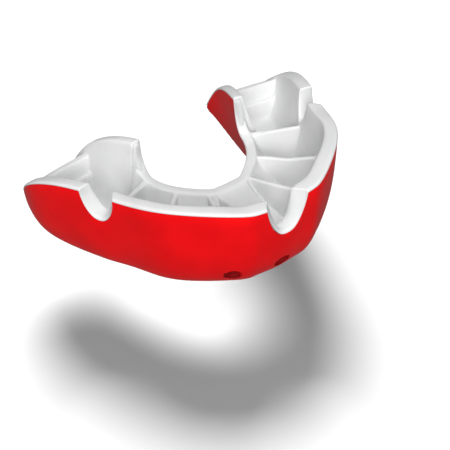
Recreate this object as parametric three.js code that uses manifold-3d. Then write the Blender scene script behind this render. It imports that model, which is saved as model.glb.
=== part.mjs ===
// Two-colour boil-and-bite mouthguard for the upper teeth, in millimetres, +Z up.
// It stands on its flat bite side: z = 0 is the underside, x = 0 the midline, -y the front teeth.
// Both pieces are lofts: a section across the leg is drawn at many stations along the dental arch.
// A station v runs from 0 at the midline to 8 at the back molar, and to -8 on the other leg.
import * as THREE from 'three';
import Module from 'manifold-3d';
import { mergeVertices } from 'three/addons/utils/BufferGeometryUtils.js';

// Driving dimensions
const SHELL = 1.4;            // thickness of the outer shell
const GAP = 0.3;              // clearance between shell and liner
const RIM_BAND = 0.6;         // how much liner stands above the shell's edge
const FLAT_STRIP = 2.5;       // least width of the flat underside
const RIM_ROLL = 0.7;         // how far the rim's rounding reaches down the channel side
const RIM_WIDTH = 3.0;        // width of the rolled cheek-side rim
const FRONT_RIM_EXTRA = 0.6;  // how much wider it is beside the front notch
const PALATE_RIM_WIDTH = 2.3; // width of the rim on the palate side
const LEG_END = 8;            // last station
const END_WALL_GAP = 0.045;   // the same clearance at the leg's end, in stations
const EDGE = 0.004;           // stations between the two sides of a sharp step
const SMOOTHING = 0.6;        // stations over which the arch is averaged

// The arch, station by station: cheek-side rim x, y, z, then palate-side rim x, y,
// its low height, the height of the molar lobe, and how far the palate wall leans over its foot.
const ARCH = [
  { rim: [0, -26.9, 19.7], palate: [0, -5.4], low: 12.9, lobe: 21.5, lean: 10.5 },     // midline
  { rim: [5.4, -26.3, 20.0], palate: [2.2, -5.3], low: 12.9, lobe: 21.5, lean: 10 },   // front notch corner
  { rim: [9.6, -25.4, 20.5], palate: [3.9, -4.9], low: 12.9, lobe: 21.5, lean: 9 },    // side incisor
  { rim: [21.0, -16.2, 21.6], palate: [8.8, -0.4], low: 13.4, lobe: 21.8, lean: 6.5 }, // canine
  { rim: [25.3, -5.2, 20.3], palate: [11.0, 4.0], low: 13.9, lobe: 22.1, lean: 5 },    // cheek notch, front
  { rim: [28.5, 2.2, 20.5], palate: [11.4, 6.9], low: 14.7, lobe: 22.3, lean: 4.5 },   // cheek notch, back
  { rim: [31.4, 10.4, 19.1], palate: [13.4, 13.2], low: 15.1, lobe: 21, lean: 3.9 },   // first molar
  { rim: [32.8, 17.8, 15.6], palate: [15.4, 20.0], low: 15.1, lobe: 17.3, lean: 3 },   // end dam
  { rim: [31.2, 24.4, 10.0], palate: [16.4, 26.2], low: 10, lobe: 10, lean: 3 },       // back end
];

const FRONT_NOTCH = { halfWidth: 0.9, depth: 7.2 };         // stations from the midline, mm
const CHEEK_NOTCH = { from: 4.07, to: 5.03, depth: 6 };     // stations, mm
const LOBE_DROP = { from: 4.1, to: 5 };                     // where the lobe's front edge sweeps down
// skew: stations by which a fin's cheek end lies further back than its middle
const FINS = [
  { v: 2.08, width: 0.095, cheek: 13.8, palate: 12.6, skew: 0.05 },
  { v: 3.14, width: 0.115, cheek: 12.9, palate: 12.9, skew: 0.11 },
  { v: 4.45, width: 0.2, cheek: 13.6, palate: 14.5, skew: 0.09 },
];
// A low ridge fills the middle of the front, narrow at the notch and wide at the palate rim
const RIDGE = { cheek: 11.4, palate: 12.2, narrow: 0.1, widen: 1.55, side: 0.9, drop: 9 };
const DAM = { foot: 6.5, step: 6.62, crest: 6.86, back: 7.06, end: 7.6, stepHeight: 12, height: 15.2 };
const FLOOR = { front: 4.8, molar: 7.6, back: 6.2 };         // channel floor heights
// At the leg's end the underside rounds up and a low wall closes the shell, both higher on the palate side
const END_WALL = { from: 7.77, cheek: 5.2, palate: 8.2 };
const END_ROUND = { cheek: { from: 7.1, height: 3.8, power: 1.8 }, palate: { from: 5.2, height: 8, power: 1.25 } };
const BACK_LIP = { cheek: 6.4, palate: 9.4 };
const VENTS = [-2.1, 0, 2.1];                             // stations of the recesses in the lower front edge
const VENT = { radius: 1.7, depth: 0.9, along: 0.62, reach: 2 }; // along: share of the cheek face's curve

const clamp01 = (x) => Math.min(1, Math.max(0, x));
const smooth = (from, to, x) => THREE.MathUtils.smoothstep(x, from, to);
const mix = THREE.MathUtils.lerp;

// One smooth curve through the stations of both legs
function archCurve(value) {
  const half = ARCH.map(value);
  const mirrored = half.slice(1).reverse().map(([x, y, z]) => [-x, y, z]);
  const points = [...mirrored, ...half].map((p) => new THREE.Vector3(...p));
  return new THREE.CatmullRomCurve3(points, false, 'catmullrom', 0.5);
}
const rimCurve = archCurve((s) => s.rim);
const palateCurve = archCurve((s) => [...s.palate, s.low]);
const lobeCurve = archCurve((s) => [...s.palate, s.lobe]);
const leanCurve = archCurve((s) => [0, 0, s.lean]);

// A point of a curve, averaged along it to even out the uneven spacing of the stations
function at(curve, v) {
  const reach = Math.min(SMOOTHING, LEG_END - Math.abs(v));
  const point = new THREE.Vector3();
  [1, 4, 6, 4, 1].forEach((weight, i) => {
    point.addScaledVector(curve.getPoint((v + (reach * (i - 2)) / 2 + LEG_END) / (2 * LEG_END)), weight / 16);
  });
  return point;
}

function frontNotch(v) {
  const q = clamp01(Math.abs(v) / FRONT_NOTCH.halfWidth);
  return FRONT_NOTCH.depth * (1 - q ** 2.6) ** 0.85;
}

function cheekNotch(v) {
  const q = clamp01((CHEEK_NOTCH.to - v) / (CHEEK_NOTCH.to - CHEEK_NOTCH.from));
  return CHEEK_NOTCH.depth * (1 - Math.abs(2 * q - 1) ** 2.2) ** 0.62;
}

// The measures of the section at station v; |v| is used because the legs are alike
function station(v) {
  const a = Math.abs(v);
  const rim = at(rimCurve, v);
  const palate = at(palateCurve, v);
  const q = clamp01((a - LOBE_DROP.from) / (LOBE_DROP.to - LOBE_DROP.from));
  const lobeShare = 1 - Math.cbrt(1 - q ** 3);
  const across = new THREE.Vector2(palate.x - rim.x, palate.y - rim.y);
  const width = across.length();
  return {
    v: a,
    origin: rim,
    across: across.divideScalar(width),
    width,
    cheekFull: rim.z,
    cheekTop: rim.z - frontNotch(a) - cheekNotch(a),
    palateTop: mix(palate.z, at(lobeCurve, v).z, lobeShare),
    foot: width - at(leanCurve, v).z,
    floor: mix(FLOOR.front, FLOOR.molar, smooth(4.8, 5.4, a)),
  };
}

const rimWidth = (v) => RIM_WIDTH + FRONT_RIM_EXTRA * smooth(0.5, 1.3, v) * (1 - smooth(2, 3, v));

// The station where a point of the channel lies, by its share of the way across: the front notch is
// narrower on its inner side, and the fins stand a little skew to the arch
function leanedStation(v, share) {
  const forward = -0.32 * smooth(0, 0.95, v) * (1 - smooth(1, 1.9, v));
  const skew = FINS.reduce((sum, f) => sum + f.skew * (1 - smooth(0.16, 0.6, Math.abs(v - f.v))), 0);
  return v + forward * clamp01(1 - 2 * share) + skew * (1 - 2 * share);
}

const bezier = (...p) => new THREE.CubicBezierCurve(...p.map(([x, y]) => new THREE.Vector2(x, y)));

// Points on a falling curve from the height where a notch cuts it off down to its foot
function cutFace(curve, top, count) {
  let [above, below] = [0, 1];
  for (let i = 0; i < 24; i += 1) {
    const middle = (above + below) / 2;
    if (curve.getPoint(middle).y > top) above = middle;
    else below = middle;
  }
  return Array.from({ length: count + 1 }, (_, i) => curve.getPoint(mix(above, 1, i / count)));
}

// Outer face of the cheek wall, uncut by the notches, from its edge to the flat underside
function cheekFace(st) {
  const top = st.cheekFull - RIM_BAND;
  const tuck = mix(2.8, 0.8, smooth(2, 5, st.v));
  return bezier([0.1, top], [tuck * 0.45, top * 0.5], [tuck, 0], [tuck + 5.4, 0]);
}

// Outside of the shell, from the cheek-side edge under the bite plate to the palate-side edge.
// s runs across the leg from the cheek side, z up.
function outerProfile(st) {
  const cheek = cheekFace(st);
  const rise = st.palateTop - RIM_BAND;
  const flatTo = Math.max(cheek.v3.x + FLAT_STRIP, st.foot - 2.6);
  const lean = st.width - st.foot;
  const palate = bezier([flatTo, 0], [st.foot + 0.4, 0], [st.foot + lean * 0.45, rise * 0.3], [st.width, rise]);
  return [...cutFace(cheek, st.cheekTop - RIM_BAND, 7), ...palate.getPoints(6)];
}

// The profile moved inwards by d, square to itself, with its two ends kept at their heights
function inset(profile, d) {
  return profile.map((p, i) => {
    const before = profile[Math.max(0, i - 1)];
    const after = profile[Math.min(profile.length - 1, i + 1)];
    const along = after.clone().sub(before).normalize();
    const moved = new THREE.Vector2(p.x - along.y * d, p.y + along.x * d);
    if (i === 0 || i === profile.length - 1) moved.y = p.y;
    return moved;
  });
}

// Raises points to a height that slants across the leg
function lift(points, st, height) {
  return points.map((p) => {
    const floor = mix(height.cheek, height.palate, clamp01(p.x / st.width));
    return new THREE.Vector2(p.x, Math.max(p.y, floor));
  });
}

const raised = (height, amount) => ({ cheek: height.cheek + amount, palate: height.palate + amount });

// Rounded underside at the leg's end, for a surface that lies some way inside the outer face
function raisedSole(points, st, inside) {
  const rise = ({ from, height, power }) => height * clamp01((st.v - from) / (LEG_END - from)) ** power;
  return lift(points, st, raised({ cheek: rise(END_ROUND.cheek), palate: rise(END_ROUND.palate) }, inside));
}

function shellSection(st) {
  const profile = outerProfile(st);
  const inside = inset(profile, SHELL);
  return {
    under: raisedSole(profile, st, 0),
    upper: st.v >= END_WALL.from ? lift(inside, st, END_WALL) : raisedSole(inside, st, SHELL),
  };
}

// Lowest channel surface at a station: fins, dam and back lip stand up from the floor
function webHeights(v) {
  const fin = FINS.find((f) => Math.abs(v - f.v) < f.width / 2 + 0.001);
  if (fin) return fin;
  if (v <= DAM.foot) return { cheek: 0, palate: 0 };
  const front = mix(FLOOR.molar, DAM.stepHeight, smooth(DAM.foot, DAM.step, v));
  const crest = mix(front, DAM.height, smooth(DAM.step + 0.08, DAM.crest, v));
  const fall = smooth(DAM.back, DAM.end, v);
  return { cheek: mix(crest, BACK_LIP.cheek, fall), palate: mix(crest, BACK_LIP.palate, fall) };
}

function ridgeHeight(v, share) {
  const edge = RIDGE.narrow + RIDGE.widen * share ** 2;
  return mix(RIDGE.cheek, RIDGE.palate, share) - RIDGE.drop * smooth(edge, edge + RIDGE.side, v);
}

// The channel from the cheek-side rim down to the floor and up to the palate-side rim
function channelProfile(st) {
  const { width, floor, cheekFull, cheekTop, palateTop } = st;
  const depth = cheekFull - floor;
  const rimInner = rimWidth(st.v);
  const palateInner = width - PALATE_RIM_WIDTH;
  const floorFrom = 7.4;
  const floorTo = Math.max(floorFrom + 0.6, st.foot - 3.4);
  const cheek = bezier([rimInner, cheekFull - RIM_ROLL], [rimInner + 1.2, cheekFull - depth * 0.45],
    [5.6, floor + 0.2], [floorFrom, floor]);
  const palate = bezier([floorTo, floor], [floorTo + 1.8, floor + 0.1],
    [palateInner - 1.2, mix(floor, palateTop, 0.5)], [palateInner, palateTop - 0.6]);
  const web = webHeights(st.v);
  return [...cutFace(cheek, cheekTop - RIM_ROLL, 6), ...palate.getPoints(6)].map((p) => {
    const share = clamp01((p.x - rimInner) / (palateInner - rimInner));
    const height = Math.min(mix(web.cheek, web.palate, share), mix(cheekTop - 0.4, palateTop - 0.5, share));
    return new THREE.Vector2(p.x, Math.max(p.y, height, ridgeHeight(st.v, share)));
  });
}

function linerSection(st) {
  const { width, cheekTop, palateTop } = st;
  const profile = outerProfile(st);
  const overEndWall = st.v >= END_WALL.from - END_WALL_GAP;
  const inner = inset(profile, SHELL + GAP);
  const under = overEndWall ? lift(inner, st, raised(END_WALL, GAP)) : raisedSole(inner, st, SHELL + GAP);
  under[0].y = cheekTop - RIM_BAND + GAP;
  under[under.length - 1].y = palateTop - RIM_BAND + GAP;
  const channel = channelProfile(st);
  const outerEdge = profile[0].x;
  const innerEdge = channel[0].x;
  const cheekRim = [[outerEdge, cheekTop - RIM_BAND + GAP], [outerEdge + 0.4, cheekTop - 0.25],
    [mix(outerEdge, innerEdge, 0.5), cheekTop], [innerEdge - 0.5, cheekTop - 0.25]];
  const palateRim = [[width - PALATE_RIM_WIDTH + 0.4, palateTop - 0.2], [width - 1.1, palateTop],
    [width - 0.3, palateTop - 0.2], [width, palateTop - RIM_BAND + GAP]];
  const toVector = ([x, y]) => new THREE.Vector2(x, y);
  return { under, upper: [...cheekRim.map(toVector), ...channel, ...palateRim.map(toVector)] };
}

// Triangles between the two chains of an end section, the under chain first in the ring
function capTriangles(underCount, upperCount) {
  const upperAt = (i) => underCount + upperCount - 1 - i;
  const triangles = [];
  let [u, w] = [0, 0];
  while (u < underCount - 1 || w < upperCount - 1) {
    const advanceUnder = w === upperCount - 1
      || (u < underCount - 1 && (u + 1) / (underCount - 1) <= (w + 1) / (upperCount - 1));
    if (advanceUnder) {
      triangles.push([u, u + 1, upperAt(w)]);
      u += 1;
    } else {
      triangles.push([u, upperAt(w + 1), upperAt(w)]);
      w += 1;
    }
  }
  return triangles;
}

const placed = (st, p) => [st.origin.x + st.across.x * p.x, st.origin.y + st.across.y * p.x, p.y];

// Places a point of the liner's upper side at its leaned station; both outer edges keep their own
function placedLeaning(v, st, p) {
  const inner = rimWidth(st.v);
  const palateInner = st.width - PALATE_RIM_WIDTH;
  const share = clamp01((p.x - inner) / (palateInner - inner));
  const amount = smooth(0, inner, p.x) * (1 - smooth(palateInner, st.width, p.x));
  const to = station(Math.sign(v) * mix(st.v, leanedStation(st.v, share), amount));
  return placed(to, { x: p.x * to.width / st.width, y: p.y });
}

// Joins the sections of all stations into one closed body
function loft(stations, section, placeUpper) {
  const sections = stations.map((v) => {
    const st = station(v);
    return { v, st, ...section(st) };
  });
  const rings = sections.map(({ v, st, under, upper }) => [
    ...under.map((p) => placed(st, p)),
    ...upper.toReversed().map((p) => placeUpper(v, st, p)),
  ]);
  const count = rings[0].length;
  const triangles = [];
  for (let r = 0; r + 1 < rings.length; r += 1) {
    for (let i = 0; i < count; i += 1) {
      const j = (i + 1) % count;
      const [a, b, c, d] = [r * count + i, r * count + j, (r + 1) * count + j, (r + 1) * count + i];
      triangles.push(a, b, c, a, c, d);
    }
  }
  const last = (rings.length - 1) * count;
  for (const [a, b, c] of capTriangles(sections[0].under.length, sections[0].upper.length)) {
    triangles.push(a, c, b, last + a, last + b, last + c);
  }
  const geometry = new THREE.BufferGeometry();
  geometry.setAttribute('position', new THREE.Float32BufferAttribute(rings.flat(2), 3));
  geometry.setIndex(triangles);
  geometry.computeVertexNormals();
  return geometry;
}

const wasm = await Module();
wasm.setup();

function toSolid(geometry) {
  const bare = geometry.clone();
  for (const name of Object.keys(bare.attributes)) {
    if (name !== 'position') bare.deleteAttribute(name);
  }
  const merged = mergeVertices(bare, 1e-5);
  return new wasm.Manifold(new wasm.Mesh({
    numProp: 3,
    vertProperties: new Float32Array(merged.attributes.position.array),
    triVerts: new Uint32Array(merged.index.array),
  }));
}

function toGeometry(solid) {
  const mesh = solid.getMesh();
  const geometry = new THREE.BufferGeometry();
  geometry.setAttribute('position', new THREE.BufferAttribute(mesh.vertProperties, 3));
  geometry.setIndex(new THREE.BufferAttribute(mesh.triVerts, 1));
  geometry.computeVertexNormals();
  return geometry;
}

// Round blind recess, sunk square to the shell's lower front edge
function ventCutter(v) {
  const st = station(v);
  const face = cheekFace(st);
  const centre = face.getPoint(VENT.along);
  const down = face.getTangent(VENT.along);
  const outward = new THREE.Vector3(st.across.x * down.y, st.across.y * down.y, -down.x);
  const cutter = new THREE.CylinderGeometry(VENT.radius, VENT.radius, 2 * VENT.reach, 20);
  cutter.applyQuaternion(new THREE.Quaternion().setFromUnitVectors(new THREE.Vector3(0, 1, 0), outward));
  const mouth = new THREE.Vector3(
    st.origin.x + st.across.x * centre.x,
    st.origin.y + st.across.y * centre.x,
    centre.y,
  );
  const middle = mouth.addScaledVector(outward, VENT.reach - VENT.depth);
  return cutter.translate(middle.x, middle.y, middle.z);
}

const mirrorStations = (half) => [...half.slice(1).reverse().map((v) => -v), ...half];
const steps = (from, to, count) => Array.from({ length: count }, (_, i) => mix(from, to, i / (count - 1)));

// Closer stations where the rim turns sharply: at the notches and at the lobe's front edge
const NOTCH_STATIONS = [0, 0.15, 0.3, 0.45, 0.6, 0.72, 0.81, 0.87, 0.9, 1, 1.2, 4.07, 4.09, 4.16, 4.26, 4.4, 4.55, 4.7,
  4.82, 4.91, 4.97, 5, 5.03, 5.06];
const PLAIN_STATIONS = [1.4, 1.6, 1.82, 2.08, 2.45, 2.8, 3.14, 3.4, 3.7, 3.9, 5.3, 5.7, 6.1, 6.5, 6.86, 7.2];
const END_STATIONS = [END_WALL.from - END_WALL_GAP - EDGE, END_WALL.from - END_WALL_GAP, END_WALL.from - EDGE,
  END_WALL.from, 7.87, 7.95, 8];
const finStations = FINS.flatMap(({ v, width }) => [v - width / 2 - EDGE, v - width / 2, v + width / 2, v + width / 2 + EDGE]);
const damStations = [...steps(DAM.foot, DAM.crest, 6), DAM.back, ...steps(DAM.back, DAM.end, 4).slice(1)];

const tidy = (list) => [...new Set(list)].sort((a, b) => a - b)
  .filter((v, i, all) => i === 0 || v - all[i - 1] > 0.0005);
const shared = [...NOTCH_STATIONS, ...PLAIN_STATIONS, ...damStations, ...END_STATIONS];
const shellStations = mirrorStations(tidy(shared));
const linerStations = mirrorStations(tidy([...shared, ...finStations]));

const mouthguard = new THREE.Group();
mouthguard.name = 'mouthguard';

const shellSolid = VENTS.reduce(
  (solid, v) => solid.subtract(toSolid(ventCutter(v))),
  toSolid(loft(shellStations, shellSection, (v, st, p) => placed(st, p))),
);
const shell = new THREE.Mesh(
  toGeometry(shellSolid),
  new THREE.MeshStandardMaterial({ color: 0xd81214, roughness: 0.42, metalness: 0 }),
);
shell.name = 'outer_shell';
mouthguard.add(shell);

const liner = new THREE.Mesh(
  loft(linerStations, linerSection, placedLeaning),
  new THREE.MeshStandardMaterial({ color: 0xeeeeec, roughness: 0.5, metalness: 0 }),
);
liner.name = 'fitting_liner';
mouthguard.add(liner);

export default mouthguard;
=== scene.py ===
# %% [markdown]
# # A two-colour boxing mouthguard
#
# The real guard is two mouldings bonded together. A firm red shell takes the blow, and a soft white
# liner, with thin fins that wrap round the teeth, takes the fit. Both run round the same dental arch,
# so both are made here the same way: a section across one leg, repeated at stations along the arch.

# %% Load the frame
import math

import bmesh
import bpy
from mathutils import Matrix, Vector


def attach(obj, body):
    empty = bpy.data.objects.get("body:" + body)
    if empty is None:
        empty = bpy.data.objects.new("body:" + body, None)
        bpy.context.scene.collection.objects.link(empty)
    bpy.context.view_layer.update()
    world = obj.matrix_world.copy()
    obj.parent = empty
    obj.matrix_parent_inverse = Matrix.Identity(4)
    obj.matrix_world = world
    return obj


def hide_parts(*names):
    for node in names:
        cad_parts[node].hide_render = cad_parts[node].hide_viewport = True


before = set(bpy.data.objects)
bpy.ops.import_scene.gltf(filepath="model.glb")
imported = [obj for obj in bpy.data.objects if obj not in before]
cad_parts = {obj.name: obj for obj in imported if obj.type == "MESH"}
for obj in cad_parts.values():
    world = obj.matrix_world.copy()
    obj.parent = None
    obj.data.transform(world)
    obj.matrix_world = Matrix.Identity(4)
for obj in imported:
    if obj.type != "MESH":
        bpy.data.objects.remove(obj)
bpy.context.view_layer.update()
MM = 0.001

# %% [markdown]
# ## The arch
#
# A dental arch is not a circle: the front teeth lie on an arc, the side teeth run nearly straight and
# flare outwards, and the two legs are alike. Nine stations on one leg are enough to say so. The other
# leg mirrors them, and a Catmull-Rom curve through all seventeen keeps the bend smooth across the
# midline. A station is a number from 0 at the midline to 8 at the back molar. Lengths are in
# millimetres until a point is placed.

# %% Stations of one leg
LEG_END = 8
SMOOTHING = 0.6  # how far along the arch a curve is averaged, in stations
STATIONS = [
    # rim: the cheek rim's x, y, z. palate: the palate rim's x, y. low and lobe: the palate rim's
    # height without and with the molar lobe. lean: how far the palate wall leans over its foot.
    dict(rim=(0.0, -26.9, 19.7), palate=(0.0, -5.4), low=12.9, lobe=21.5, lean=10.5),
    dict(rim=(5.4, -26.3, 20.0), palate=(2.2, -5.3), low=12.9, lobe=21.5, lean=10.0),
    dict(rim=(9.6, -25.4, 20.5), palate=(3.9, -4.9), low=12.9, lobe=21.5, lean=9.0),
    dict(rim=(21.0, -16.2, 21.6), palate=(8.8, -0.4), low=13.4, lobe=21.8, lean=6.5),
    dict(rim=(25.3, -5.2, 20.3), palate=(11.0, 4.0), low=13.9, lobe=22.1, lean=5.0),
    dict(rim=(28.5, 2.2, 20.5), palate=(11.4, 6.9), low=14.7, lobe=22.3, lean=4.5),
    dict(rim=(31.4, 10.4, 19.1), palate=(13.4, 13.2), low=15.1, lobe=21.0, lean=3.9),
    dict(rim=(32.8, 17.8, 15.6), palate=(15.4, 20.0), low=15.1, lobe=17.3, lean=3.0),
    dict(rim=(31.2, 24.4, 10.0), palate=(16.4, 26.2), low=10.0, lobe=10.0, lean=3.0),
]


def both_legs(value):
    """A value at the stations of both legs, with one more point past each end to steer the curve."""
    half = [Vector(value(s)) for s in STATIONS]
    points = [Vector((-p.x, p.y, p.z)) for p in half[:0:-1]] + half
    return [2 * points[0] - points[1], *points, 2 * points[-1] - points[-2]]


def catmull_rom(points, v):
    """The curve through the stations' points, at station v."""
    u = min(max(v + LEG_END, 0), 2 * LEG_END - 1e-9)
    i, t = int(u), u - int(u)
    a, b, c, d = points[i : i + 4]
    bend = (2 * a - 5 * b + 4 * c - d) * t**2 + (3 * b - a - 3 * c + d) * t**3
    return 0.5 * (2 * b + (c - a) * t + bend)


def on_curve(points, v):
    """The curve averaged along itself, which evens out the uneven spacing of the stations."""
    reach = min(SMOOTHING, LEG_END - abs(v))
    weights = ((-1, 1), (-0.5, 4), (0, 6), (0.5, 4), (1, 1))
    total = sum(w for _, w in weights)
    parts = (catmull_rom(points, v + reach * k) * (w / total) for k, w in weights)
    return sum(parts, Vector((0, 0, 0)))


RIM = both_legs(lambda s: s["rim"])
LOW_PALATE = both_legs(lambda s: (*s["palate"], s["low"]))
HIGH_PALATE = both_legs(lambda s: (*s["palate"], s["lobe"]))
LEAN = both_legs(lambda s: (0, 0, s["lean"]))
print("the arch is", round(2 * max(p.x for p in RIM), 1), "mm across its rims")

# %% [markdown]
# ## Rims, notches and lobes
#
# The rim is not level. It is cut away over the lip's frenum at the front and over the muscle on each
# cheek, so that the guard doesn't rub there. On the palate side it stays low behind the front teeth
# and then sweeps up into a lobe beside the molars. A notch could be cut out afterwards, but a rolled
# rim would then end in a raw edge. Each of these is instead one short formula of the station number,
# so that the rim follows it and a corner can be as sharp or as soft as the real one.

# %% Measures of the section at a station
# In a notch, a larger power flattens the bottom, and a smaller corner steepens the sides
FRONT_NOTCH = dict(half_width=0.9, depth=7.2, power=2.6, corner=0.85)
CHEEK_NOTCH = dict(start=4.07, end=5.03, depth=6.0, power=2.2, corner=0.62)
LOBE_SWEEP = dict(start=4.1, end=5.0, power=3)
FLOOR = dict(front=4.8, molar=7.6, start=4.8, end=5.4)  # the channel's floor steps up to the molars


def clamp(x, low=0.0, high=1.0):
    return min(max(x, low), high)


def smooth(start, end, x):
    t = clamp((x - start) / (end - start))
    return t * t * (3 - 2 * t)


def mix(a, b, t):
    return a + (b - a) * t


def soft_max(a, b, radius):
    """The larger of two heights, with a fillet of about the radius where they cross."""
    return 0.5 * (a + b + math.hypot(a - b, radius))


def soft_min(a, b, radius):
    return -soft_max(-a, -b, radius)


def front_notch(v):
    q = clamp(v / FRONT_NOTCH["half_width"])
    return FRONT_NOTCH["depth"] * (1 - q ** FRONT_NOTCH["power"]) ** FRONT_NOTCH["corner"]


def cheek_notch(v):
    q = clamp((CHEEK_NOTCH["end"] - v) / (CHEEK_NOTCH["end"] - CHEEK_NOTCH["start"]))
    from_middle = abs(2 * q - 1)
    return CHEEK_NOTCH["depth"] * (1 - from_middle ** CHEEK_NOTCH["power"]) ** CHEEK_NOTCH["corner"]


class Section:
    """The measures of the section across the leg at station v. Both legs are alike."""

    def __init__(self, v):
        self.v = abs(v)
        rim, low = on_curve(RIM, v), on_curve(LOW_PALATE, v)
        q = clamp((self.v - LOBE_SWEEP["start"]) / (LOBE_SWEEP["end"] - LOBE_SWEEP["start"]))
        lobe_share = 1 - (1 - q ** LOBE_SWEEP["power"]) ** (1 / LOBE_SWEEP["power"])
        across = (low - rim).xy
        self.origin = rim.xy
        self.width = across.length
        self.across = across / self.width
        self.cheek_full = rim.z
        self.notch = front_notch(self.v) + cheek_notch(self.v)
        self.cheek_top = rim.z - self.notch
        self.palate_top = mix(low.z, on_curve(HIGH_PALATE, v).z, lobe_share)
        self.foot = self.width - on_curve(LEAN, v).z
        self.floor = mix(FLOOR["front"], FLOOR["molar"], smooth(FLOOR["start"], FLOOR["end"], self.v))

    def place(self, s, z):
        """The point s mm across the leg from the cheek rim and z mm up, now in metres."""
        xy = self.origin + self.across * s
        return Vector((xy.x, xy.y, z)) * MM


for v in (0, 3, 6):
    at = Section(v)
    print(f"station {v}: {at.width:.1f} mm wide, rims at {at.cheek_top:.1f} and {at.palate_top:.1f} mm")

# %% [markdown]
# ## Lines of a section
#
# Most lines of the section are cubic Bezier curves, because a moulded wall has a foot, a head and two
# directions, and nothing else. A notch cuts the wall off without changing its slope below, so the
# curve is drawn whole and then started lower down.

# %% Curves across the leg
HALVINGS = 24


def bezier(points, t):
    a, b, c, d = points
    s = 1 - t
    return a * s**3 + b * (3 * s * s * t) + c * (3 * s * t * t) + d * t**3


def sample(points, count, start=0.0):
    return [bezier(points, mix(start, 1, i / (count - 1))) for i in range(count)]


def share_at(points, z):
    """Where a falling curve passes height z."""
    above, below = 0.0, 1.0
    for _ in range(HALVINGS):
        middle = (above + below) / 2
        if bezier(points, middle).y > z:
            above = middle
        else:
            below = middle
    return (above + below) / 2


def soft_line(points, steps):
    """A cubic B-spline drawn towards its control points, as a moulded corner is."""
    p = [points[0]] * 2 + points + [points[-1]] * 2
    line = []
    for i in range(len(p) - 3):
        a, b, c, d = p[i : i + 4]
        for k in range(steps):
            t = k / steps
            s = 1 - t
            inner = b * (3 * t**3 - 6 * t**2 + 4) + c * (3 * s**3 - 6 * s**2 + 4)
            line.append((a * s**3 + inner + d * t**3) / 6)
    return [*line, points[-1]]


def resample(points, count):
    """The same line with another number of points."""
    line = []
    for i in range(count):
        u = i / (count - 1) * (len(points) - 1)
        k = min(int(u), len(points) - 2)
        line.append(points[k].lerp(points[k + 1], u - k))
    return line


corner = [Vector((0, 0)), Vector((0, 1)), Vector((1, 1))]
cut_off = min((p - corner[1]).length for p in soft_line(corner, 4))
print(f"a soft line cuts {cut_off:.2f} off a square corner with sides of 1")

# %% [markdown]
# ## The outside
#
# From the cheek edge the outside bellies out over the teeth, tucks in to a flat bite plate, and rises
# again as a leaning wall to the palate edge. At the leg's end the plate rounds up off the molar. A
# Solidify modifier could thicken one surface, but its edges would then tilt with the walls. The
# shell's inside is the outside moved in by its thickness, with both edges kept level.

# %% Outside of the shell
SHELL = 1.4  # thickness of the shell
SEAM = 0.06  # clearance between the two mouldings
RIM_BAND = 0.6  # how much liner stands above the shell's edge
EDGE_SET_BACK = 0.1  # from the rim's line to the shell's edge on the cheek side
TUCK = dict(front=2.8, molar=0.8, start=2, end=5)  # how far the cheek face goes in by the bite plate
CHEEK_TURN, PALATE_TURN = 5.4, 2.6  # widths of the turns from the plate into its two walls
FLAT_STRIP = 2.5  # the least width of the flat plate between the turns
CHEEK_POINTS, PALATE_POINTS = 22, 18
EDGE_ROUND = 0.14
END_ROUND = dict(
    cheek=dict(start=7.1, height=3.8, power=1.8),
    palate=dict(start=5.2, height=8.0, power=1.25),
)
END_FILLET = 0.12  # how softly the plate starts to rise, as a share of the rise
END_EDGE = dict(drop=0.45, start=7.7, end=7.95)
END_WALL = dict(start=7.72, full=7.86, cheek=5.2, palate=8.2, fillet=0.5)


def cheek_face(at):
    """The outer face of the cheek wall, as if no notch were cut from it."""
    top = at.cheek_full - RIM_BAND
    tuck = mix(TUCK["front"], TUCK["molar"], smooth(TUCK["start"], TUCK["end"], at.v))
    points = (EDGE_SET_BACK, top), (tuck * 0.45, top * 0.5), (tuck, 0), (tuck + CHEEK_TURN, 0)
    return [Vector(p) for p in points]


def outside_line(at):
    """From the cheek-side edge under the bite plate to the palate-side edge."""
    cheek = cheek_face(at)
    rise = at.palate_top - RIM_BAND
    lean = at.width - at.foot
    flat_to = max(cheek[3].x + FLAT_STRIP, at.foot - PALATE_TURN)
    points = (flat_to, 0), (at.foot + 0.4, 0), (at.foot + lean * 0.45, rise * 0.3), (at.width, rise)
    palate = [Vector(p) for p in points]
    start = share_at(cheek, at.cheek_top - RIM_BAND)
    return sample(cheek, CHEEK_POINTS, start) + sample(palate, PALATE_POINTS)


def inset(line, distance):
    """The line moved inwards, square to itself, with its two ends kept at their heights."""
    moved = []
    for i, p in enumerate(line):
        along = (line[min(i + 1, len(line) - 1)] - line[max(i - 1, 0)]).normalized()
        moved.append(Vector((p.x - along.y * distance, p.y + along.x * distance)))
    moved[0].y, moved[-1].y = line[0].y, line[-1].y
    return moved


def raise_to(line, at, cheek, palate, radius):
    """Lifts a line to a height that slants from the cheek side to the palate side."""
    raised = []
    for p in line:
        height = mix(cheek, palate, clamp(p.x / at.width))
        raised.append(Vector((p.x, soft_max(p.y, height, radius))))
    return raised


def raise_sole(line, at, inside):
    """Rounds the plate up towards the leg's end, for a line that runs some way inside the outside."""
    cheek, palate = (
        side["height"] * clamp((at.v - side["start"]) / (LEG_END - side["start"])) ** side["power"]
        for side in (END_ROUND["cheek"], END_ROUND["palate"])
    )
    if palate == 0:
        return line
    return raise_to(line, at, cheek + inside, palate + inside, END_FILLET * palate)


def raise_end_wall(line, at, above):
    """Lifts the line between the two mouldings at the leg's end, where the shell closes it off."""
    share = smooth(END_WALL["start"], END_WALL["full"], at.v)
    if share == 0:
        return line
    cheek, palate = END_WALL["cheek"] + above, END_WALL["palate"] + above
    low = raise_to(line, at, cheek, palate, END_WALL["fillet"])
    return [p.lerp(q, share) for p, q in zip(line, low)]


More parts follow.
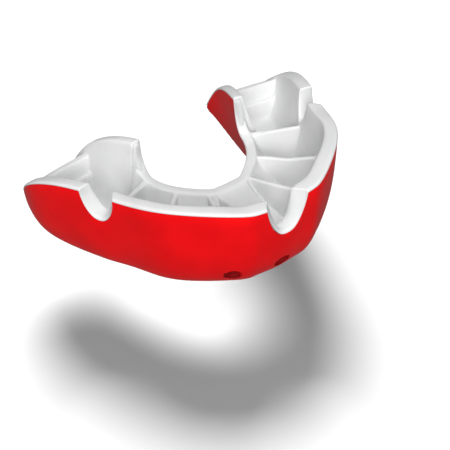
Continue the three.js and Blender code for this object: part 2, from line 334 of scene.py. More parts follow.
def round_ends(line):
    """Breaks the two edges of a line of the shell, so that they catch the light."""
    first, last = line[0], line[-1]
    inward = Vector((EDGE_ROUND, 0))
    down = Vector((0, EDGE_ROUND))
    return [first + inward, first + inward * 0.3 - down * 0.3, first - down, *line[2:-2],
            last - down, last - inward * 0.3 - down * 0.3, last - inward]


def shell_section(at):
    """Both lines of the shell. At the leg's end its edges drop clear of the liner's rounded end."""
    drop = END_EDGE["drop"] * smooth(END_EDGE["start"], END_EDGE["end"], at.v)
    at.cheek_top -= drop
    at.palate_top -= drop
    outside = outside_line(at)
    inside = inset(outside, SHELL)
    under = round_ends(raise_sole(outside, at, 0))
    upper = raise_end_wall(raise_sole(inside, at, SHELL), at, 0)
    return under, resample(upper, len(under))


line = outside_line(Section(3))
flat_from, flat_to = line[CHEEK_POINTS - 1].x, line[CHEEK_POINTS].x
print(f"at station 3 the plate is flat from {flat_from:.1f} to {flat_to:.1f} mm across")

# %% [markdown]
# ## Fins across the channel
#
# Three fins cross the channel of each leg. When the guard is warmed and bitten, they fold against the
# teeth and hold it on. They could be thin solids joined by a Boolean, but their feet would then meet
# the channel in a hard crease. Here they are a rise of the channel's own surface. They stand a little
# skew to the arch, so the liner's stations are bent to follow them: along one grid line a fin keeps
# the same place on its own profile, and its edges stay clean.

# %% Fins
RIM_WIDTH, PALATE_RIM_WIDTH = 3.0, 2.3
# Beside the front notch the cheek rim widens from start to full and narrows again from fade to end
WIDE_RIM = dict(extra=0.6, start=0.5, full=1.3, fade=2.0, end=3.0)
# There a grid line's cheek end is also nearer the midline than its palate end
NOTCH_LEAN = dict(stations=0.32, full=0.95, fade=1.0, end=1.9)
# A fin's crest heights at its two ends, how far it waves, and its skew in stations
FINS = [
    dict(station=2.08, cheek=13.8, palate=12.6, wave=0.0, skew=0.05),
    dict(station=3.14, cheek=12.9, palate=12.9, wave=0.18, skew=0.11),
    dict(station=4.45, cheek=13.6, palate=14.5, wave=0.0, skew=0.09),
]
FIN_THICKNESS, FIN_FILLET = 1.05, 0.7
FIN_SIDE = 0.045  # how far a fin's sides slope out from its crest to its foot's fillet
FIN_BLEND = 0.25  # how softly a fin sinks into a wall
WAVE_TURN = 9.0  # how far the wave turns along a fin, in radians
SKEW_NEAR, SKEW_FAR = 0.16, 0.6  # the skew is whole up to the first distance and gone at the second
# Distances from a fin's middle plane where its profile turns. It has run out at the last of them.
FIN_LINES = [0, 0.2, 0.36, 0.47, 0.525, 0.57, 0.63, 0.75, 0.95, 1.225, 1.6]
FIN_REACH = FIN_LINES[-1]
FIN_FADE = 0.35  # stations over which the grid goes back to its own spacing


def rim_width(v):
    """The width of the cheek rim at station v."""
    widened = smooth(WIDE_RIM["start"], WIDE_RIM["full"], v)
    return RIM_WIDTH + WIDE_RIM["extra"] * widened * (1 - smooth(WIDE_RIM["fade"], WIDE_RIM["end"], v))


def lean_stations(v, share):
    """The station that a grid line passes at a share of the way from the cheek to the palate."""
    back = NOTCH_LEAN["stations"] * smooth(0, NOTCH_LEAN["full"], v)
    back *= 1 - smooth(NOTCH_LEAN["fade"], NOTCH_LEAN["end"], v)
    shift = -back * clamp(1 - 2 * share)
    for fin in FINS:
        near = 1 - smooth(SKEW_NEAR, SKEW_FAR, abs(v - fin["station"]))
        shift += fin["skew"] * near * (1 - 2 * share)
    return v + shift


def point_across(v, share):
    """The point in plan at a share of the way across the channel, in millimetres."""
    at = Section(v)
    first = rim_width(at.v)
    return at.origin + at.across * mix(first, at.width - PALATE_RIM_WIDTH, share)


PARTS = 10  # a fin's lengths are measured at both ends of ten equal parts
STEP = 0.01
for fin in FINS:
    lengths = []
    for i in range(PARTS + 1):
        share = i / PARTS
        before, after = (lean_stations(fin["station"] + d, share) for d in (-STEP, STEP))
        moved = point_across(after, share) - point_across(before, share)
        lengths.append(moved.length / (2 * STEP))
    fin["lengths"] = lengths
    fin["middle"] = lengths[PARTS // 2]
    ends = f"{lengths[0]:.1f} to {lengths[-1]:.1f}"
    print(f"fin at station {fin['station']}: a station is {ends} mm long there")


# %% [markdown]
# ## Bent stations
#
# The arch bends, so a station is longer by the cheek than by the palate, and a fin that is drawn by
# station alone would be a wedge. A real fin is one thickness from end to end. Near a fin the grid's
# lines are therefore gathered or spread by that difference in length, which keeps them on its edges.


# %% Bent stations
def length_at(fin, share):
    """The length of one station in millimetres, at a share of the way along a fin."""
    u = clamp(share) * PARTS
    k = min(int(u), PARTS - 1)
    return mix(fin["lengths"][k], fin["lengths"][k + 1], u - k)


def warped(v, share, amount):
    """The station to place a point at, so that fins keep one thickness across the channel."""
    u = abs(v)
    for fin in FINS:
        off = u - fin["station"]
        reach = FIN_REACH / fin["middle"]
        near = 1 - smooth(reach, reach + FIN_FADE, abs(off))
        if near > 0:
            u += off * (fin["middle"] / length_at(fin, share) - 1) * near
            break
    return math.copysign(mix(abs(v), lean_stations(u, clamp(share)), amount), v)


beside = FINS[1]["station"] + 0.1
for share in (0, 1):
    drawn_at = warped(beside, share, 1)
    print(f"at a share of {share} across, station {beside:.2f} is drawn at {drawn_at:.3f}")


# %% Rise of the fins
def fin_rise(v, share, floor):
    """How far the fins stand above the channel's own surface."""
    for fin in FINS:
        off = abs(v - fin["station"]) * fin["middle"]
        if off >= FIN_REACH:
            continue
        crest = mix(fin["cheek"], fin["palate"], share) + fin["wave"] * math.sin(share * WAVE_TURN)
        height = soft_max(crest - floor, 0, FIN_BLEND)
        half = FIN_THICKNESS / 2
        top, foot = min(half, height / 2), min(FIN_FILLET, height / 2)
        if off <= half:
            return height - top * (1 - math.sqrt(1 - (off / half) ** 2))
        gap = clamp((off - half - FIN_SIDE) / FIN_FILLET)
        return foot * (1 - math.sqrt(1 - (1 - gap) ** 2))
    return 0


rises = [fin_rise(fin["station"], 0.5, FLOOR["front"]) for fin in FINS]
print("the fins rise", ", ".join(f"{rise:.1f}" for rise in rises), "mm from the front floor")

# %% [markdown]
# ## Dam behind the last molar
#
# A dam thicker than the fins closes each channel at the back, with a step on its face and a lip behind
# it that runs out low at the leg's end. It could be a block joined on, but as one more height along
# the arch it gets its fillets from the same formula as everything else in the channel.

# %% Dam and back lip
# The stations where the dam's face starts, reaches its step, leaves it and reaches the crest, and
# where its back starts and ends. Then its heights, and how far below the floor its foot is buried.
DAM = dict(foot=6.46, step=6.60, ramp=6.68, crest=6.86, back=7.02, end=7.62,
           step_height=12.0, height=15.2, buried=2.0, from_station=6.40)
BACK_LIP = dict(cheek=6.4, palate=9.4)


def dam_height(v, share):
    """The height of the dam and the lip behind it, before they are blended into the channel."""
    foot = FLOOR["molar"] - DAM["buried"]
    rise = mix(foot, DAM["step_height"], smooth(DAM["foot"], DAM["step"], v))
    crest = mix(rise, DAM["height"], smooth(DAM["ramp"], DAM["crest"], v))
    lip = mix(BACK_LIP["cheek"], BACK_LIP["palate"], share)
    return mix(crest, lip, smooth(DAM["back"], DAM["end"], v))


for v in (DAM["step"], DAM["crest"], DAM["end"]):
    print(f"the dam is {dam_height(v, 0.5):.1f} mm high at station {v}")

# %% [markdown]
# ## Ridge behind the front notch
#
# The middle of the front has no channel. A low ridge fills it, narrow where it meets the notch and
# broad by the palate, and falls away to the channel on each side. A straight-sided block would be
# simpler to model, but the real ridge spreads like a fan, so its two edges move apart along it.

# %% Ridge behind the front notch
RIDGE = dict(cheek=11.4, palate=12.2, narrow=0.1, widen=1.55, side=0.9, drop=9.0, end=2.8)


def ridge_height(v, share):
    """The ridge's height, which drops below the floor outside its two edges."""
    edge = RIDGE["narrow"] + RIDGE["widen"] * share**2
    fallen = RIDGE["drop"] * smooth(edge, edge + RIDGE["side"], v)
    return mix(RIDGE["cheek"], RIDGE["palate"], share) - fallen


ridge_ends = ridge_height(0, 0), ridge_height(0, 1)
print("the ridge is %.1f mm high at the notch and %.1f by the palate" % ridge_ends)

# %% [markdown]
# ## Rims
#
# Both rims are rolled over and nearly flat on top, because they rest against the gum. A Bevel
# modifier could round them, but not evenly where a notch cuts through them. A soft line through a
# few control points rounds them by the same amount everywhere.


# %% Rims of the liner
def vectors(*points):
    return [Vector(p) for p in points]


def rims(at, wall_x):
    """Control points of both rims, each from the outer seam to the channel's wall."""
    top, high, edge = at.cheek_top, at.palate_top, at.edge
    width, inner = at.width, at.width - PALATE_RIM_WIDTH
    cheek = vectors(
        (edge, top - RIM_BAND + SEAM), (edge - 0.02, top - 0.55), (edge + 0.05, top - 0.08),
        (edge + 0.55, top + 0.03), (mix(edge, wall_x, 0.55), top + 0.02),
        (wall_x - 0.55, top - 0.02), (wall_x - 0.1, top - 0.2),
    )
    palate = vectors(
        (inner + 0.12, high - 0.2), (inner + 0.5, high), (width - 1.1, high + 0.03),
        (width - 0.5, high + 0.02), (width - 0.06, high - 0.08), (width + 0.02, high - 0.55),
        (width, high - RIM_BAND + SEAM),
    )
    return cheek, palate


at = Section(3)
at.edge = outside_line(at)[0].x
print("the rims have", [len(points) for points in rims(at, RIM_WIDTH)], "control points")

# %% [markdown]
# ## Channel
#
# The channel between the rims is a deep bowl that takes the teeth. Each side of it is one curve,
# drawn whole, and then its height is lifted by the ridge, the fins and the dam. Sculpting would reach
# the same shape, but heights can be blended exactly, so each foot gets the same small fillet.

# %% Channel of the liner
CHANNEL_STEPS = 2  # points of the soft line for each control point
WALL_POINTS, PALATE_WALL_POINTS = 11, 13
ROLL, NOTCH_ROLL = 0.7, 0.5  # how deep a rim rolls into the channel, and how much more in a notch
CHANNEL_FILLET, FIN_CAP_FILLET = 0.5, 0.1
FIN_BELOW = dict(cheek=0.25, palate=0.35)  # how far below the two rims a fin stays
DAM_BELOW = 0.6


def channel_walls(at):
    """The bowl between the rims: its cheek wall down to the floor, and its palate wall up from it."""
    floor, high, full = at.floor, at.palate_top, at.cheek_full
    inner, palate_inner = rim_width(at.v), at.width - PALATE_RIM_WIDTH
    roll = ROLL + NOTCH_ROLL * clamp(at.notch / 2)
    floor_to = max(8.0, at.foot - 3.4)
    cheek = vectors(
        (inner, full - roll), (inner + 1.2, full - (full - floor) * 0.45),
        (5.6, floor + 0.2), (7.4, floor),
    )
    palate = vectors(
        (floor_to, floor), (floor_to + 1.8, floor + 0.1),
        (palate_inner - 1.2, mix(floor, high, 0.5)), (palate_inner, high - ROLL),
    )
    wall = sample(cheek, WALL_POINTS, share_at(cheek, at.cheek_top - roll))
    return wall, sample(palate, PALATE_WALL_POINTS)


def lifted(at, share, z):
    """The channel's height z with the ridge, the fins and the dam standing in it."""
    v, top, high = at.v, at.cheek_top, at.palate_top
    if v < RIDGE["end"]:
        z = soft_max(z, ridge_height(v, share), CHANNEL_FILLET)
    rise = fin_rise(v, share, z)
    if rise > 0:
        cap = mix(top - FIN_BELOW["cheek"], high - FIN_BELOW["palate"], share)
        z = max(z, soft_min(z + rise, max(cap, z), FIN_CAP_FILLET))
    if v > DAM["from_station"]:
        cap = mix(top - DAM_BELOW, high - DAM_BELOW, share)
        z = soft_max(z, soft_min(dam_height(v, share), cap, CHANNEL_FILLET), CHANNEL_FILLET)
    return z


def liner_upper(at):
    """Control points from the cheek-side seam over the rim, through the channel, to the palate seam."""
    inner, palate_inner = rim_width(at.v), at.width - PALATE_RIM_WIDTH
    wall, palate_wall = channel_walls(at)
    cheek_rim, palate_rim = rims(at, wall[0].x)
    bowl = []
    for p in wall + palate_wall:
        share = clamp((p.x - inner) / (palate_inner - inner))
        bowl.append(Vector((p.x, lifted(at, share, p.y))))
    return cheek_rim + bowl + palate_rim


def liner_section(at):
    """Both lines of the liner: the seam with the shell below, and the rims and channel above."""
    outside = outside_line(at)
    at.edge = outside[0].x
    upper = soft_line(liner_upper(at), CHANNEL_STEPS)
    inside = inset(outside, SHELL + SEAM)
    under = raise_end_wall(raise_sole(inside, at, SHELL + SEAM), at, SEAM)
    under[0].y = at.cheek_top - RIM_BAND + SEAM
    under[-1].y = at.palate_top - RIM_BAND + SEAM
    return resample(under, len(upper)), upper


under, upper = liner_section(Section(3))
print("a section of the liner has", len(under), "points below and", len(upper), "above")

# %% [markdown]
# ## From sections to a skin
#
# A flat grid has one row for each station and one column for each point round the section. Bending it
# is then only a matter of moving its vertices, and merging the first and last columns closes the
# tube. Bridging one edge loop to the next would make the same skin, but far more slowly. At each end
# a few more rows shrink towards the section's middle line, which rounds the end and closes it.

# %% Rings of points
def place_shell(v, at, p, is_upper):
    return at.place(p.x, p.y)


def place_liner(v, at, p, is_upper):
    """Places a point of the liner, on the bent stations if it is on the upper side."""
    if not is_upper:
        return at.place(p.x, p.y)
    inner, palate_inner = rim_width(at.v), at.width - PALATE_RIM_WIDTH
    share = (p.x - inner) / (palate_inner - inner)
    amount = smooth(0, inner, p.x) * (1 - smooth(palate_inner, at.width, p.x))
    to = Section(warped(v, share, amount))
    return to.place(p.x * to.width / at.width, p.y)


def ring(v, section, place, shrink=1.0):
    """The points round one section, drawn in towards its middle line by the share shrink."""
    at = Section(v)
    under, upper = section(at)
    if shrink < 1:
        middle = [(a + b) / 2 for a, b in zip(under, upper)]
        under = [m.lerp(p, shrink) for m, p in zip(middle, under)]
        upper = [m.lerp(p, shrink) for m, p in zip(middle, upper)]
    low = [place(v, at, p, False) for p in under]
    high = [place(v, at, p, True) for p in upper]
    return low + high[::-1]


print("a ring of the shell has", len(ring(3, shell_section, place_shell)), "points")

# %% Loft
END_ROWS = 5
END_DEPTH = 0.05  # how much of the last station is left for those rows
MERGED, DEGENERATE = 2e-6, 1e-7  # metres


def loft(name, stations, section, place):
    """Makes one closed piece from the rings of one leg and their mirror images."""
    body = [v for v in stations if v <= LEG_END - END_DEPTH]
    rings = [ring(v, section, place) for v in body]
    for k in range(1, END_ROWS + 1):
        turn = math.pi / 2 * k / END_ROWS
        v = LEG_END - END_DEPTH * (1 - math.sin(turn))
        rings.append(ring(v, section, place, max(math.cos(turn), 0)))
    rings = [[Vector((-p.x, p.y, p.z)) for p in row] for row in rings[:0:-1]] + rings
    around = len(rings[0])
    skin = bmesh.new()
    bmesh.ops.create_grid(skin, x_segments=around, y_segments=len(rings) - 1, size=1)
    for vert in skin.verts:
        column = round((vert.co.x + 1) / 2 * around) % around
        row = round((vert.co.y + 1) / 2 * (len(rings) - 1))
        vert.co = rings[row][column]
    bmesh.ops.remove_doubles(skin, verts=skin.verts, dist=MERGED)
    bmesh.ops.dissolve_degenerate(skin, dist=DEGENERATE, edges=skin.edges)
    bmesh.ops.recalc_face_normals(skin, faces=skin.faces)
    open_edges = sum(not e.is_manifold for e in skin.edges)
    mesh = bpy.data.meshes.new(name)
    skin.to_mesh(mesh)
    volume = skin.calc_volume() / MM**3
    skin.free()
    for face in mesh.polygons:
        face.use_smooth = True
    piece = bpy.data.objects.new(name, mesh)
    bpy.context.scene.collection.objects.link(piece)
    print(f"{name}: {len(rings)} rows of {around}, {open_edges} open edges, {volume:.0f} cubic mm")
    return piece


# %% [markdown]
# ## Where the stations lie
#
# An even row of stations would need thousands to show a notch's corner. Instead they crowd where the
# shape turns: at the notches' corners, over the fins and on the dam. Both mouldings share the
# stations of the outline, so that their seam has no gaps.

# %% Stations
CLOSEST = 0.004  # stations nearer each other than this are one


def spaced(start, end, count):
    return [mix(start, end, i / (count - 1)) for i in range(count)]


def eased(start, end, count):
    """Stations that crowd towards both ends, where a notch turns sharply."""
    return [mix(start, end, 0.5 - 0.5 * math.cos(math.pi * i / (count - 1))) for i in range(count)]


def sorted_stations(groups):
    kept = []
    for v in sorted(v for group in groups for v in group):
        if not kept or v - kept[-1] >= CLOSEST:
            kept.append(v)
    return kept


HALF_NOTCH = FRONT_NOTCH["half_width"]
NOTCH_START, NOTCH_END = CHEEK_NOTCH["start"], CHEEK_NOTCH["end"]
outline = [
    eased(-HALF_NOTCH, HALF_NOTCH, 61)[30:],  # half of the front notch
    spaced(HALF_NOTCH, 2.0, 24), spaced(2.0, 3.6, 24), spaced(3.6, 4.04, 8),
    eased(NOTCH_START, NOTCH_END, 44), eased(4.6, 5.06, 24),  # the cheek notch, and its steep back
    spaced(5.06, 6.4, 22), spaced(6.4, LEG_END, 48),
]
fin_stations = [
    fin["station"] + side * d / fin["middle"] for fin in FINS for d in FIN_LINES for side in (-1, 1)
]
dam_stations = spaced(DAM["from_station"], DAM["end"], 40)
shell_stations = sorted_stations(outline)
liner_stations = sorted_stations([*outline, dam_stations, fin_stations])
print(len(shell_stations), "stations for a leg of the shell and", len(liner_stations), "for the liner")

# %% [markdown]
# ## The two mouldings
#
# The loft now makes both. They stay two objects, as they are two materials in the real guard, and a
# hair's breadth is left between them.

# %% Make the two mouldings
shell = loft("shell_moulding", shell_stations, shell_section, place_shell)
liner = loft("liner_moulding", liner_stations, liner_section, place_liner)

# %% [markdown]
# ## Recesses in the shell
#
# Three shallow round recesses sit in the lower front edge, one in the middle and one on each side.
# They are small next to the grid's faces, so moving vertices would leave them ragged. An exact
# Boolean with a slightly tapered, round-bottomed plug cuts them cleanly, square to the surface.

# %% Recesses in the shell
# The mouth is a share along the cheek face. The plug stands as far above its own middle as below.
RECESS = dict(radius=1.7, depth=0.9, along=0.62, reach=2.0, rounding=0.35, stations=(-2.1, 0, 2.1))
TAPER_BOTTOM, TAPER_TOP = 0.94, 1.04  # the plug's radii at its ends, as shares of the recess's
SHARP_ANGLE = math.radians(35)


def recess_frame(v):
    """Where a recess opens in the shell, and the way out of it."""
    at = Section(v)
    face = cheek_face(at)
    t, nearby = RECESS["along"], 0.01
    mouth = bezier(face, t)
    down = (bezier(face, t + nearby) - bezier(face, t - nearby)).normalized()
    outward = Vector((at.across.x * down.y, at.across.y * down.y, -down.x)).normalized()
    return at.place(mouth.x, mouth.y), outward


def recess_cutter(mouth, outward):
    """A plug whose rounded end lies at the bottom of a recess."""
    cutter = bmesh.new()
    radius = RECESS["radius"] * MM
    bmesh.ops.create_cone(cutter, cap_ends=True, segments=48, radius1=radius * TAPER_BOTTOM,
                          radius2=radius * TAPER_TOP, depth=2 * RECESS["reach"] * MM)
    bottom = [e for e in cutter.edges if all(vert.co.z < 0 for vert in e.verts)]
    bmesh.ops.bevel(cutter, geom=bottom, offset=RECESS["rounding"] * MM, affect="EDGES",
                    segments=4, profile=0.5, material=-1)
    turn = outward.to_track_quat("Z", "Y").to_matrix().to_4x4()
    middle = mouth + outward * (RECESS["reach"] - RECESS["depth"]) * MM
    bmesh.ops.transform(cutter, matrix=Matrix.Translation(middle) @ turn, verts=cutter.verts)
    return cutter


def cut(piece, cutters):
    """Takes the cutters out of a piece with one exact Boolean, and applies it."""
    mesh = bpy.data.meshes.new("cutters")
    joined = bmesh.new()
    for cutter in cutters:
        part = bpy.data.meshes.new("cutter")
        cutter.to_mesh(part)
        cutter.free()
        joined.from_mesh(part)
        bpy.data.meshes.remove(part)
    joined.to_mesh(mesh)
    joined.free()
    tool = bpy.data.objects.new("cutters", mesh)
    bpy.context.scene.collection.objects.link(tool)
    modifier = piece.modifiers.new("recesses", "BOOLEAN")
    modifier.operation, modifier.solver, modifier.object = "DIFFERENCE", "EXACT", tool
    with bpy.context.temp_override(object=piece, active_object=piece):
        bpy.ops.object.modifier_apply(modifier=modifier.name)
    bpy.data.objects.remove(tool)
    bpy.data.meshes.remove(mesh)


recess_frames = [recess_frame(v) for v in RECESS["stations"]]
cut(shell, [recess_cutter(mouth, outward) for mouth, outward in recess_frames])
shell.data.set_sharp_from_angle(angle=SHARP_ANGLE)
print("shell after the recesses:", len(shell.data.polygons), "faces")

# %% [markdown]
# ## Shader maths
#
# A material reads best as arithmetic. This small class wraps a socket, so that masks can be added,
# multiplied and mixed like numbers, and each operation adds its Math node. One method adds any other
# node from its type, its settings and what goes into its sockets.

# %% Wrap a socket


class Value:
    """A number that varies over a surface."""

    def __init__(self, maker, socket):
        self.maker, self.socket = maker, socket

    def math(self, operation, *others, swap=False):
        inputs = [self, *others]
        if swap:
            inputs.reverse()
        node = self.maker.node("ShaderNodeMath", {"operation": operation}, dict(enumerate(inputs)))
        return Value(self.maker, node.outputs[0])

    def __add__(self, other):
        return self.math("ADD", other)

    def __sub__(self, other):
        return self.math("SUBTRACT", other)

    def __rsub__(self, other):
        return self.math("SUBTRACT", other, swap=True)

    def __mul__(self, other):
        return self.math("MULTIPLY", other)

    def __truediv__(self, other):
        return self.math("DIVIDE", other)

    __radd__, __rmul__ = __add__, __mul__

    def between(self, low, high):
        """0 below low and 1 above high, smooth between them."""
        node = self.maker.node("ShaderNodeMapRange", {"interpolation_type": "SMOOTHSTEP"},
                               {"Value": self, "From Min": low, "From Max": high})
        return Value(self.maker, node.outputs["Result"])


# %% Build a material
class Maker:
    """Builds one material's nodes."""

    def __init__(self, name):
        self.material = bpy.data.materials.new(name)
        self.material.use_nodes = True
        self.tree = self.material.node_tree
        self.shader = self.tree.nodes["Principled BSDF"]
        self.position = self.node("ShaderNodeTexCoord").outputs["Object"]

    def node(self, kind, settings=None, inputs=None):
        node = self.tree.nodes.new(kind)
        for name, value in (settings or {}).items():
            setattr(node, name, value)
        self.feed(node, inputs or {})
        return node

    def feed(self, node, inputs):
        for name, value in inputs.items():
            if isinstance(value, Value):
                value = value.socket
            if isinstance(value, bpy.types.NodeSocket):
                self.tree.links.new(value, node.inputs[name])
            else:
                node.inputs[name].default_value = value

    def noise(self, size, detail=2.0, roughness=0.5, stretch=(1, 1, 1)):
        """Noise with features of the given size in millimetres, longer where stretch is more than 1."""
        scaled = self.node("ShaderNodeMapping", None, {
            "Vector": self.position, "Scale": tuple(1 / (size * MM * k) for k in stretch)})
        noise = self.node("ShaderNodeTexNoise", None, {
            "Vector": scaled.outputs[0], "Scale": 1.0, "Detail": detail, "Roughness": roughness})
        return Value(self, noise.outputs["Fac"])

    def up(self):
        """The height above the plate's underside in millimetres."""
        parts = self.node("ShaderNodeSeparateXYZ", None, {0: self.position})
        return Value(self, parts.outputs["Z"]) / MM

    def blend(self, share, first, second):
        """A colour between two others."""
        # A Mix node keeps its colour sockets after those for numbers and vectors
        node = self.node("ShaderNodeMix", {"data_type": "RGBA"}, {"Factor": share, 6: first, 7: second})
        return node.outputs[2]

    def bump(self, height, strength, distance):
        """A normal that stands up from the surface by a height map, at most the distance in mm."""
        node = self.node("ShaderNodeBump", None, {
            "Height": height, "Strength": strength, "Distance": distance * MM})
        return node.outputs["Normal"]


def color(r, g, b):
    return (r, g, b, 1.0)


trial = Maker("trial")
mask = 1 - trial.up().between(0, 1)
print("1 - mask is worked out by a node of operation", mask.socket.node.operation)
bpy.data.materials.remove(trial.material)

# %% [markdown]
# ## Shell: saturated red moulding
#
# The shell is a firm co-polymer with its colour all the way through. It comes out of a polished mould
# with a satin gloss. Handling leaves very fine scuffs on the plate it rests on, which scatter the
# highlight there, and the flow of the melt leaves a hardly visible mottle in the colour. One flat
# colour would look like paint, so broad noise varies the colour and fine noise the surface.

# %% Shell material
RED, DEEP_RED = color(0.84, 0.004, 0.006), color(0.74, 0.003, 0.005)
red = Maker("shell_red")
mottle = red.noise(size=9.0, detail=3)
grain = red.noise(size=0.35, detail=2)
scuffs = red.noise(size=1.1, detail=4, roughness=0.65, stretch=(6, 1, 1))
plate = 1 - red.up().between(0.05, 1.2)
worn = plate * scuffs.between(0.48, 0.7)
red.feed(red.shader, {
    "Base Color": red.blend(mottle.between(0.35, 0.7), DEEP_RED, RED),
    "Roughness": 0.33 + 0.07 * mottle + 0.2 * worn,
    "Specular IOR Level": 0.1,
    "Normal": red.bump(grain + scuffs * plate * 1.5, strength=0.12, distance=0.05),
})
shell.data.materials.append(red.material)
print("shell material:", len(red.tree.nodes), "nodes")

# %% [markdown]
# ## Recess floors: painted shade
#
# The three recesses come from pins in the mould. Their floors are rougher than the polished outside,
# and their dark red is painted shade. A mask in the red material could paint that shade, but its edge
# would be soft. The faces that lie inside a recess get a material of their own with the painted shade,
# so its rim stays crisp.

# %% Recess painted shade
# Both reds of the recesses are painted shade, mixed at random by the blotch noise
RECESS_SHADE_DEEP, RECESS_SHADE_SOFT = color(0.20, 0.001, 0.002), color(0.27, 0.002, 0.003)
SKIN_DEPTH, DEPTH_MARGIN, WALL_SHARE = 0.05, 0.2, 0.98  # which faces count as inside a recess
recess_shade = Maker("shell_recess_painted_shade")
blotch = recess_shade.noise(size=1.4, detail=3)
recess_shade.feed(recess_shade.shader, {
    "Base Color": recess_shade.blend(blotch.between(0.35, 0.7), RECESS_SHADE_DEEP, RECESS_SHADE_SOFT),
    "Roughness": 0.55 + 0.15 * blotch,
    "Specular IOR Level": 0.1,
    "Normal": recess_shade.bump(blotch, strength=0.2, distance=0.05),
})
shell.data.materials.append(recess_shade.material)
recessed = 0
for face in shell.data.polygons:
    for mouth, outward in recess_frames:
        away = (face.center - mouth) / MM
        depth = -away.dot(outward)
        aside = (away + outward * depth).length
        is_deep = SKIN_DEPTH < depth < RECESS["depth"] + DEPTH_MARGIN
        if is_deep and aside < RECESS["radius"] * WALL_SHARE:
            # A face inside a recess takes the material with the painted shade
            face.material_index = 1
            recessed += 1
print(recessed, "faces in the recesses")

# %% [markdown]
# ## Liner: soft white gel
#
# The liner is a soft, slightly translucent white that softens in hot water. Light goes a little way
# into it, so a small constant subsurface share suits it. Its surface is duller than the shell's, and
# the walls of the channel carry faint upright marks from the mould's cutter.

# %% Liner material
WHITE, SHADED_WHITE = color(0.72, 0.72, 0.72), color(0.675, 0.678, 0.68)
white = Maker("liner_white")
cloud = white.noise(size=6.0, detail=3)
skin = white.noise(size=0.3, detail=2)
marks = white.noise(size=0.9, detail=3, stretch=(1, 1, 9))
deep = 1 - white.up().between(9.0, 16.0)
white.feed(white.shader, {
    "Base Color": white.blend(cloud.between(0.3, 0.7), SHADED_WHITE, WHITE),
    "Roughness": 0.42 + 0.12 * cloud + 0.05 * marks,
    "Subsurface Weight": 0.3,
    "Subsurface Radius": (1.0, 0.95, 0.9),
    "Subsurface Scale": 1.2 * MM,
    "Specular IOR Level": 0.4,
    "Normal": white.bump(skin * 0.4 + marks * (0.8 + 1.2 * deep), strength=0.18, distance=0.08),
})
liner.data.materials.append(white.material)
print("liner material:", len(white.tree.nodes), "nodes")

# %% [markdown]
# ## What each moulding stands for
#
# Each finished moulding rides on the one rigid body and stands in for its plain CAD solid, which
# stays behind for collision. The saturated shell would tint the sheet and the liner red by the light
# that it bounces, so that light is left out.

# %% Say what each moulding stands for
shell.visible_diffuse = False
for piece, node in ((shell, "outer_shell"), (liner, "fitting_liner")):
    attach(piece, "root")
    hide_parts(node)
    print(piece.name, "stands for", node)

# %% [markdown]
# ## Sheet
#
# The guard is shown over a pale sheet, a little above it, so that its shadow lies free of it. The
# sheet is plain paper, far wider than the view. It catches the shadow but sends no light back, so
# that the underside of the guard keeps its own colour.

# %% Pale sheet
SHEET_DROP = 14.0
SHEET_HALF_WIDTH = 4  # metres
sheet = bmesh.new()
bmesh.ops.create_grid(sheet, x_segments=1, y_segments=1, size=SHEET_HALF_WIDTH,
                      matrix=Matrix.Translation((0, 0, -SHEET_DROP * MM)))
sheet_mesh = bpy.data.meshes.new("pale_sheet")
sheet.to_mesh(sheet_mesh)
sheet.free()
pale_sheet = bpy.data.objects.new("pale_sheet", sheet_mesh)
pale_sheet.visible_diffuse = pale_sheet.visible_glossy = pale_sheet.visible_shadow = False
bpy.context.scene.collection.objects.link(pale_sheet)
paper = Maker("paper")
paper.feed(paper.shader, {
    "Base Color": color(0.98, 0.98, 0.98), "Roughness": 0.9, "Specular IOR Level": 0.0})
sheet_mesh.materials.append(paper.material)
print("the sheet lies", SHEET_DROP, "mm below the plate")

# %% [markdown]
# ## Camera
#
# A small object is best seen from a little way off through a long lens, which keeps its far leg from
# shrinking. The camera stands in front, to the left and above, so that the channel, its fins and the
# outside of the shell all show. It is turned a few degrees about its own axis.

# %% Camera
EYE = Vector((-109.86, -179.48, 156.72)) * MM
AIM = Vector((-3.97, -9.87, 6.66)) * MM
TURN = math.radians(-5.27)
camera = bpy.data.objects.new("camera", bpy.data.cameras.new("camera"))
camera.data.lens, camera.data.sensor_width = 100, 36
camera.data.clip_start = 0.01
facing = (EYE - AIM).to_track_quat("Z", "Y").to_matrix().to_4x4()
camera.matrix_world = Matrix.Translation(EYE) @ facing @ Matrix.Rotation(TURN, 4, "Z")
bpy.context.scene.collection.objects.link(camera)
bpy.context.scene.camera = camera
print("camera is", round((EYE - AIM).length / MM), "mm away")

# %% [markdown]
# ## Lamps
#
# One lamp can't both shape the white channel softly and throw a clear shadow well away from the
# guard. So the work is shared by light linking. A broad sun from behind lights only the sheet and
# throws the shadow on it. Two soft disks, one overhead and one in front, light only the guard.


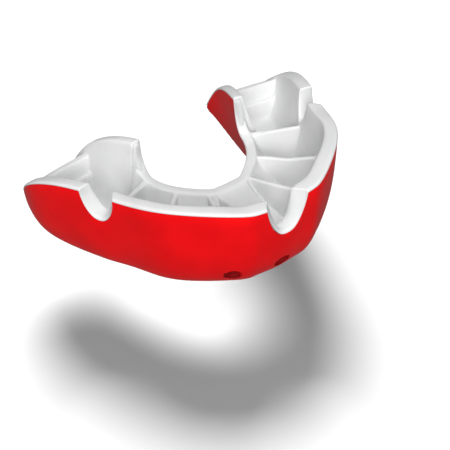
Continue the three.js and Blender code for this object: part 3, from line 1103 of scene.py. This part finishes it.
# %% Lamps
def soft_lamp(name, place, aim, size, power):
    """A round lamp at a place in metres, turned towards a point."""
    data = bpy.data.lights.new(name, "AREA")
    data.shape, data.size, data.energy = "DISK", size, power
    lamp = bpy.data.objects.new(name, data)
    facing = (Vector(place) - Vector(aim)).to_track_quat("Z", "Y").to_matrix().to_4x4()
    lamp.matrix_world = Matrix.Translation(place) @ facing
    bpy.context.scene.collection.objects.link(lamp)
    return lamp


def shine_only_on(lamps, pieces, name):
    """Links lamps to some pieces, so that they light nothing else."""
    group = bpy.data.collections.new(name)
    for piece in pieces:
        group.objects.link(piece)
    for lamp in lamps:
        lamp.light_linking.receiver_collection = group


SUN_FROM, SUN_BREADTH = Vector((0.31, 0.53, 0.79)), math.radians(29)
back = bpy.data.objects.new("back", bpy.data.lights.new("back", "SUN"))
back.data.energy, back.data.angle = 3.6, SUN_BREADTH
back.matrix_world = SUN_FROM.to_track_quat("Z", "Y").to_matrix().to_4x4()
bpy.context.scene.collection.objects.link(back)
overhead = soft_lamp("overhead", (-0.12, -0.28, 0.66), aim=(0, 0, 0), size=0.3, power=2.9)
front = soft_lamp("front", (-0.43, -0.64, 0.32), aim=(0, 0, 0.01), size=0.4, power=4.9)
shine_only_on([back], [pale_sheet], "sheet_only")
shine_only_on([overhead, front], [shell, liner], "guard_only")

# %% [markdown]
# ## Room
#
# The pale room fills in what the lamps leave dark. An even white world would do that too, but it
# flattens the shape, so the room is a little brighter above than below.

# %% Room
ROOM_LEVEL = {"From Min": -0.3, "From Max": 0.2, "To Min": 0.22, "To Max": 0.33}
room = bpy.data.worlds.new("pale_room")
room.use_nodes = True
sky = room.node_tree.nodes
background = sky["Background"]
view = sky.new("ShaderNodeTexCoord").outputs["Generated"]
height = sky.new("ShaderNodeSeparateXYZ")
level = sky.new("ShaderNodeMapRange")
level.interpolation_type = "SMOOTHSTEP"
for socket, value in ROOM_LEVEL.items():
    level.inputs[socket].default_value = value
room.node_tree.links.new(view, height.inputs[0])
room.node_tree.links.new(height.outputs["Z"], level.inputs["Value"])
room.node_tree.links.new(level.outputs["Result"], background.inputs["Strength"])
background.inputs["Color"].default_value = color(1, 1, 1)
bpy.context.scene.world = room
bpy.context.scene.view_settings.view_transform = "Standard"
print("the room's light goes from", ROOM_LEVEL["To Min"], "below to", ROOM_LEVEL["To Max"], "above")
